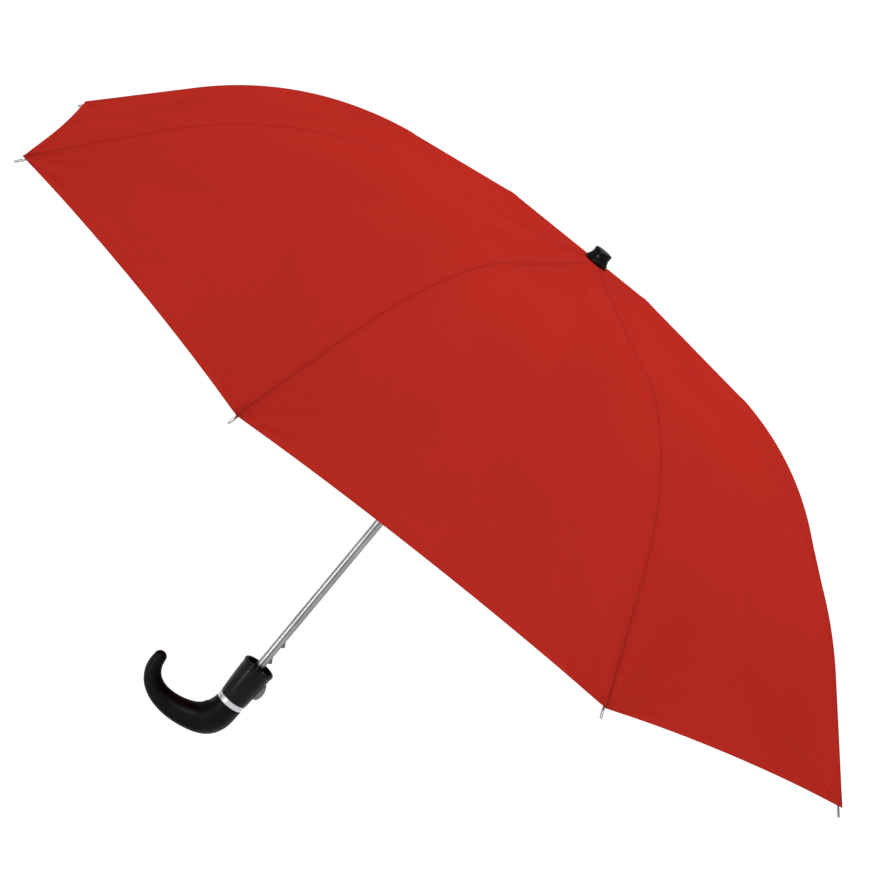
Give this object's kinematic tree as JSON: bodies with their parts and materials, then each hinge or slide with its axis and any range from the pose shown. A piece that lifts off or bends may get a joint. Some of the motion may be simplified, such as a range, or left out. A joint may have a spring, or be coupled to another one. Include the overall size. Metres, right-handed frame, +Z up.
{
  "type": "folding umbrella",
  "caption": "Open two-fold umbrella with a dished fabric canopy, folding ribs, telescoping fluted shaft, push button and crook handle.",
  "frame": {"origin": "on the shaft axis at the mouth of the handle's collar", "axes": "+Z up the shaft to the ferrule, +X the way the crook hooks, +Y completes the set"},
  "size_m": [0.8858, 0.8858, 0.5782],
  "materials": {
    "handle_plastic": "matt black, fine grain",
    "collar_plastic": "satin black moulding",
    "bright_metal": "brushed bright ring",
    "steel": "zinc plated",
    "shaft_steel": "bright drawn tube",
    "black_plastic": "moulded black nylon",
    "button_metal": "grey moulding",
    "spring_steel": "tempered",
    "ferrule_plastic": "satin black",
    "canopy_fabric": "plain woven pongee",
    "rib_steel": "black lacquered channel",
    "rod_steel": "plated rod and tip"
  },
  "bodies": {
    "grip": {"handle_crook": "handle_plastic", "handle_collar": "collar_plastic", "ring_band": "bright_metal", "handle_pin": "steel", "lower_tube": "shaft_steel", "spring_seat": "black_plastic"},
    "button": {"release_button": "button_metal"},
    "catch": {"runner_catch": "spring_steel"},
    "shaft": {"upper_tube": "shaft_steel", "top_plug": "black_plastic", "crown": "black_plastic", "crown_wire": "steel", "ferrule": "ferrule_plastic", "canopy": "canopy_fabric", "opening_spring": "spring_steel"},
    "slider": {"runner": "black_plastic"},
    "rib_1": {"main_rib_1": "rib_steel"},
    "strut_1": {"stretcher_1": "rib_steel"},
    "outer_1": {"outer_rib_1": "rib_steel"},
    "tie_1": {"tie_link_1": "steel"},
    "end_1": {"rib_end_1": "rod_steel"},
    "rib_2": {"main_rib_2": "rib_steel"},
    "strut_2": {"stretcher_2": "rib_steel"},
    "outer_2": {"outer_rib_2": "rib_steel"},
    "tie_2": {"tie_link_2": "steel"},
    "end_2": {"rib_end_2": "rod_steel"},
    "rib_3": {"main_rib_3": "rib_steel"},
    "strut_3": {"stretcher_3": "rib_steel"},
    "outer_3": {"outer_rib_3": "rib_steel"},
    "tie_3": {"tie_link_3": "steel"},
    "end_3": {"rib_end_3": "rod_steel"},
    "rib_4": {"main_rib_4": "rib_steel"},
    "strut_4": {"stretcher_4": "rib_steel"},
    "outer_4": {"outer_rib_4": "rib_steel"},
    "tie_4": {"tie_link_4": "steel"},
    "end_4": {"rib_end_4": "rod_steel"},
    "rib_5": {"main_rib_5": "rib_steel"},
    "strut_5": {"stretcher_5": "rib_steel"},
    "outer_5": {"outer_rib_5": "rib_steel"},
    "tie_5": {"tie_link_5": "steel"},
    "end_5": {"rib_end_5": "rod_steel"},
    "rib_6": {"main_rib_6": "rib_steel"},
    "strut_6": {"stretcher_6": "rib_steel"},
    "outer_6": {"outer_rib_6": "rib_steel"},
    "tie_6": {"tie_link_6": "steel"},
    "end_6": {"rib_end_6": "rod_steel"},
    "rib_7": {"main_rib_7": "rib_steel"},
    "strut_7": {"stretcher_7": "rib_steel"},
    "outer_7": {"outer_rib_7": "rib_steel"},
    "tie_7": {"tie_link_7": "steel"},
    "end_7": {"rib_end_7": "rod_steel"},
    "rib_8": {"main_rib_8": "rib_steel"},
    "strut_8": {"stretcher_8": "rib_steel"},
    "outer_8": {"outer_rib_8": "rib_steel"},
    "tie_8": {"tie_link_8": "steel"},
    "end_8": {"rib_end_8": "rod_steel"}
  },
  "joints": [
    {"name": "button_press", "type": "slide", "parent": "grip", "child": "button", "axis": [1, 0, 0], "range_m": [0, 0.0019], "stiffness_N_per_m": 900, "springref_m": -0.002},
    {"name": "catch_press", "type": "slide", "parent": "grip", "child": "catch", "axis": [1, 0, 0], "range_m": [0, 0.0019]},
    {"name": "telescope", "type": "slide", "parent": "grip", "child": "shaft", "axis": [0, 0, -1], "range_m": [0, 0.245], "stiffness_N_per_m": 60, "springref_m": -0.15, "deforming": ["opening_spring"]},
    {"name": "runner_slide", "type": "slide", "parent": "shaft", "child": "slider", "axis": [0, 0, -1], "range_m": [0, 0.11944], "stiffness_N_per_m": 60, "springref_m": -0.1, "deforming": ["canopy"]},
    {"name": "rib_1_fold", "type": "hinge", "parent": "shaft", "child": "rib_1", "pos_m": [0.00831, 0.00344, 0.47101], "axis": [-0.3827, 0.9239, 0], "range_deg": [0, 83.31]},
    {"name": "strut_1_fold", "type": "hinge", "parent": "rib_1", "child": "strut_1", "pos_m": [0.0909, 0.03765, 0.46051], "axis": [0.3827, -0.9239, 0], "range_deg": [0, 131.46]},
    {"name": "outer_1_fold", "type": "hinge", "parent": "rib_1", "child": "outer_1", "pos_m": [0.19299, 0.07994, 0.44914], "axis": [0.3827, -0.9239, 0], "range_deg": [0, 184.51]},
    {"name": "tie_1_turn", "type": "hinge", "parent": "outer_1", "child": "tie_1", "pos_m": [0.18642, 0.07722, 0.44547], "axis": [-0.3827, 0.9239, 0], "range_deg": [0, 182.7]},
    {"name": "end_1_flex", "type": "hinge", "parent": "outer_1", "child": "end_1", "pos_m": [0.28609, 0.1185, 0.41118], "axis": [0.3827, -0.9239, 0], "range_deg": [0, 32.61]},
    {"name": "rib_2_fold", "type": "hinge", "parent": "shaft", "child": "rib_2", "pos_m": [0.00344, 0.00831, 0.47101], "axis": [-0.9239, 0.3827, 0], "range_deg": [0, 83.31]},
    {"name": "strut_2_fold", "type": "hinge", "parent": "rib_2", "child": "strut_2", "pos_m": [0.03765, 0.0909, 0.46051], "axis": [0.9239, -0.3827, 0], "range_deg": [0, 131.46]},
    {"name": "outer_2_fold", "type": "hinge", "parent": "rib_2", "child": "outer_2", "pos_m": [0.07994, 0.19299, 0.44914], "axis": [0.9239, -0.3827, 0], "range_deg": [0, 184.51]},
    {"name": "tie_2_turn", "type": "hinge", "parent": "outer_2", "child": "tie_2", "pos_m": [0.07722, 0.18642, 0.44547], "axis": [-0.9239, 0.3827, 0], "range_deg": [0, 182.7]},
    {"name": "end_2_flex", "type": "hinge", "parent": "outer_2", "child": "end_2", "pos_m": [0.1185, 0.28609, 0.41118], "axis": [0.9239, -0.3827, 0], "range_deg": [0, 32.61]},
    {"name": "rib_3_fold", "type": "hinge", "parent": "shaft", "child": "rib_3", "pos_m": [-0.00344, 0.00831, 0.47101], "axis": [-0.9239, -0.3827, 0], "range_deg": [0, 83.31]},
    {"name": "strut_3_fold", "type": "hinge", "parent": "rib_3", "child": "strut_3", "pos_m": [-0.03765, 0.0909, 0.46051], "axis": [0.9239, 0.3827, 0], "range_deg": [0, 131.46]},
    {"name": "outer_3_fold", "type": "hinge", "parent": "rib_3", "child": "outer_3", "pos_m": [-0.07994, 0.19299, 0.44914], "axis": [0.9239, 0.3827, 0], "range_deg": [0, 184.51]},
    {"name": "tie_3_turn", "type": "hinge", "parent": "outer_3", "child": "tie_3", "pos_m": [-0.07722, 0.18642, 0.44547], "axis": [-0.9239, -0.3827, 0], "range_deg": [0, 182.7]},
    {"name": "end_3_flex", "type": "hinge", "parent": "outer_3", "child": "end_3", "pos_m": [-0.1185, 0.28609, 0.41118], "axis": [0.9239, 0.3827, 0], "range_deg": [0, 32.61]},
    {"name": "rib_4_fold", "type": "hinge", "parent": "shaft", "child": "rib_4", "pos_m": [-0.00831, 0.00344, 0.47101], "axis": [-0.3827, -0.9239, 0], "range_deg": [0, 83.31]},
    {"name": "strut_4_fold", "type": "hinge", "parent": "rib_4", "child": "strut_4", "pos_m": [-0.0909, 0.03765, 0.46051], "axis": [0.3827, 0.9239, 0], "range_deg": [0, 131.46]},
    {"name": "outer_4_fold", "type": "hinge", "parent": "rib_4", "child": "outer_4", "pos_m": [-0.19299, 0.07994, 0.44914], "axis": [0.3827, 0.9239, 0], "range_deg": [0, 184.51]},
    {"name": "tie_4_turn", "type": "hinge", "parent": "outer_4", "child": "tie_4", "pos_m": [-0.18642, 0.07722, 0.44547], "axis": [-0.3827, -0.9239, 0], "range_deg": [0, 182.7]},
    {"name": "end_4_flex", "type": "hinge", "parent": "outer_4", "child": "end_4", "pos_m": [-0.28609, 0.1185, 0.41118], "axis": [0.3827, 0.9239, 0], "range_deg": [0, 32.61]},
    {"name": "rib_5_fold", "type": "hinge", "parent": "shaft", "child": "rib_5", "pos_m": [-0.00831, -0.00344, 0.47101], "axis": [0.3827, -0.9239, 0], "range_deg": [0, 83.31]},
    {"name": "strut_5_fold", "type": "hinge", "parent": "rib_5", "child": "strut_5", "pos_m": [-0.0909, -0.03765, 0.46051], "axis": [-0.3827, 0.9239, 0], "range_deg": [0, 131.46]},
    {"name": "outer_5_fold", "type": "hinge", "parent": "rib_5", "child": "outer_5", "pos_m": [-0.19299, -0.07994, 0.44914], "axis": [-0.3827, 0.9239, 0], "range_deg": [0, 184.51]},
    {"name": "tie_5_turn", "type": "hinge", "parent": "outer_5", "child": "tie_5", "pos_m": [-0.18642, -0.07722, 0.44547], "axis": [0.3827, -0.9239, 0], "range_deg": [0, 182.7]},
    {"name": "end_5_flex", "type": "hinge", "parent": "outer_5", "child": "end_5", "pos_m": [-0.28609, -0.1185, 0.41118], "axis": [-0.3827, 0.9239, 0], "range_deg": [0, 32.61]},
    {"name": "rib_6_fold", "type": "hinge", "parent": "shaft", "child": "rib_6", "pos_m": [-0.00344, -0.00831, 0.47101], "axis": [0.9239, -0.3827, 0], "range_deg": [0, 83.31]},
    {"name": "strut_6_fold", "type": "hinge", "parent": "rib_6", "child": "strut_6", "pos_m": [-0.03765, -0.0909, 0.46051], "axis": [-0.9239, 0.3827, 0], "range_deg": [0, 131.46]},
    {"name": "outer_6_fold", "type": "hinge", "parent": "rib_6", "child": "outer_6", "pos_m": [-0.07994, -0.19299, 0.44914], "axis": [-0.9239, 0.3827, 0], "range_deg": [0, 184.51]},
    {"name": "tie_6_turn", "type": "hinge", "parent": "outer_6", "child": "tie_6", "pos_m": [-0.07722, -0.18642, 0.44547], "axis": [0.9239, -0.3827, 0], "range_deg": [0, 182.7]},
    {"name": "end_6_flex", "type": "hinge", "parent": "outer_6", "child": "end_6", "pos_m": [-0.1185, -0.28609, 0.41118], "axis": [-0.9239, 0.3827, 0], "range_deg": [0, 32.61]},
    {"name": "rib_7_fold", "type": "hinge", "parent": "shaft", "child": "rib_7", "pos_m": [0.00344, -0.00831, 0.47101], "axis": [0.9239, 0.3827, 0], "range_deg": [0, 83.31]},
    {"name": "strut_7_fold", "type": "hinge", "parent": "rib_7", "child": "strut_7", "pos_m": [0.03765, -0.0909, 0.46051], "axis": [-0.9239, -0.3827, 0], "range_deg": [0, 131.46]},
    {"name": "outer_7_fold", "type": "hinge", "parent": "rib_7", "child": "outer_7", "pos_m": [0.07994, -0.19299, 0.44914], "axis": [-0.9239, -0.3827, 0], "range_deg": [0, 184.51]},
    {"name": "tie_7_turn", "type": "hinge", "parent": "outer_7", "child": "tie_7", "pos_m": [0.07722, -0.18642, 0.44547], "axis": [0.9239, 0.3827, 0], "range_deg": [0, 182.7]},
    {"name": "end_7_flex", "type": "hinge", "parent": "outer_7", "child": "end_7", "pos_m": [0.1185, -0.28609, 0.41118], "axis": [-0.9239, -0.3827, 0], "range_deg": [0, 32.61]},
    {"name": "rib_8_fold", "type": "hinge", "parent": "shaft", "child": "rib_8", "pos_m": [0.00831, -0.00344, 0.47101], "axis": [0.3827, 0.9239, 0], "range_deg": [0, 83.31]},
    {"name": "strut_8_fold", "type": "hinge", "parent": "rib_8", "child": "strut_8", "pos_m": [0.0909, -0.03765, 0.46051], "axis": [-0.3827, -0.9239, 0], "range_deg": [0, 131.46]},
    {"name": "outer_8_fold", "type": "hinge", "parent": "rib_8", "child": "outer_8", "pos_m": [0.19299, -0.07994, 0.44914], "axis": [-0.3827, -0.9239, 0], "range_deg": [0, 184.51]},
    {"name": "tie_8_turn", "type": "hinge", "parent": "outer_8", "child": "tie_8", "pos_m": [0.18642, -0.07722, 0.44547], "axis": [0.3827, 0.9239, 0], "range_deg": [0, 182.7]},
    {"name": "end_8_flex", "type": "hinge", "parent": "outer_8", "child": "end_8", "pos_m": [0.28609, -0.1185, 0.41118], "axis": [-0.3827, -0.9239, 0], "range_deg": [0, 32.61]}
  ],
  "couplings": [
    {"joint": "catch_press", "follows": "button_press", "ratio": 1},
    {"joint": "rib_1_fold", "follows": "runner_slide", "rad_per_m": 12.173},
    {"joint": "strut_1_fold", "follows": "runner_slide", "rad_per_m": 19.209},
    {"joint": "outer_1_fold", "follows": "runner_slide", "rad_per_m": 26.961},
    {"joint": "tie_1_turn", "follows": "runner_slide", "rad_per_m": 26.696},
    {"joint": "end_1_flex", "follows": "runner_slide", "rad_per_m": 4.7639},
    {"joint": "rib_2_fold", "follows": "runner_slide", "rad_per_m": 12.173},
    {"joint": "strut_2_fold", "follows": "runner_slide", "rad_per_m": 19.209},
    {"joint": "outer_2_fold", "follows": "runner_slide", "rad_per_m": 26.961},
    {"joint": "tie_2_turn", "follows": "runner_slide", "rad_per_m": 26.696},
    {"joint": "end_2_flex", "follows": "runner_slide", "rad_per_m": 4.7639},
    {"joint": "rib_3_fold", "follows": "runner_slide", "rad_per_m": 12.173},
    {"joint": "strut_3_fold", "follows": "runner_slide", "rad_per_m": 19.209},
    {"joint": "outer_3_fold", "follows": "runner_slide", "rad_per_m": 26.961},
    {"joint": "tie_3_turn", "follows": "runner_slide", "rad_per_m": 26.696},
    {"joint": "end_3_flex", "follows": "runner_slide", "rad_per_m": 4.7639},
    {"joint": "rib_4_fold", "follows": "runner_slide", "rad_per_m": 12.173},
    {"joint": "strut_4_fold", "follows": "runner_slide", "rad_per_m": 19.209},
    {"joint": "outer_4_fold", "follows": "runner_slide", "rad_per_m": 26.961},
    {"joint": "tie_4_turn", "follows": "runner_slide", "rad_per_m": 26.696},
    {"joint": "end_4_flex", "follows": "runner_slide", "rad_per_m": 4.7639},
    {"joint": "rib_5_fold", "follows": "runner_slide", "rad_per_m": 12.173},
    {"joint": "strut_5_fold", "follows": "runner_slide", "rad_per_m": 19.209},
    {"joint": "outer_5_fold", "follows": "runner_slide", "rad_per_m": 26.961},
    {"joint": "tie_5_turn", "follows": "runner_slide", "rad_per_m": 26.696},
    {"joint": "end_5_flex", "follows": "runner_slide", "rad_per_m": 4.7639},
    {"joint": "rib_6_fold", "follows": "runner_slide", "rad_per_m": 12.173},
    {"joint": "strut_6_fold", "follows": "runner_slide", "rad_per_m": 19.209},
    {"joint": "outer_6_fold", "follows": "runner_slide", "rad_per_m": 26.961},
    {"joint": "tie_6_turn", "follows": "runner_slide", "rad_per_m": 26.696},
    {"joint": "end_6_flex", "follows": "runner_slide", "rad_per_m": 4.7639},
    {"joint": "rib_7_fold", "follows": "runner_slide", "rad_per_m": 12.173},
    {"joint": "strut_7_fold", "follows": "runner_slide", "rad_per_m": 19.209},
    {"joint": "outer_7_fold", "follows": "runner_slide", "rad_per_m": 26.961},
    {"joint": "tie_7_turn", "follows": "runner_slide", "rad_per_m": 26.696},
    {"joint": "end_7_flex", "follows": "runner_slide", "rad_per_m": 4.7639},
    {"joint": "rib_8_fold", "follows": "runner_slide", "rad_per_m": 12.173},
    {"joint": "strut_8_fold", "follows": "runner_slide", "rad_per_m": 19.209},
    {"joint": "outer_8_fold", "follows": "runner_slide", "rad_per_m": 26.961},
    {"joint": "tie_8_turn", "follows": "runner_slide", "rad_per_m": 26.696},
    {"joint": "end_8_flex", "follows": "runner_slide", "rad_per_m": 4.7639}
  ]
}
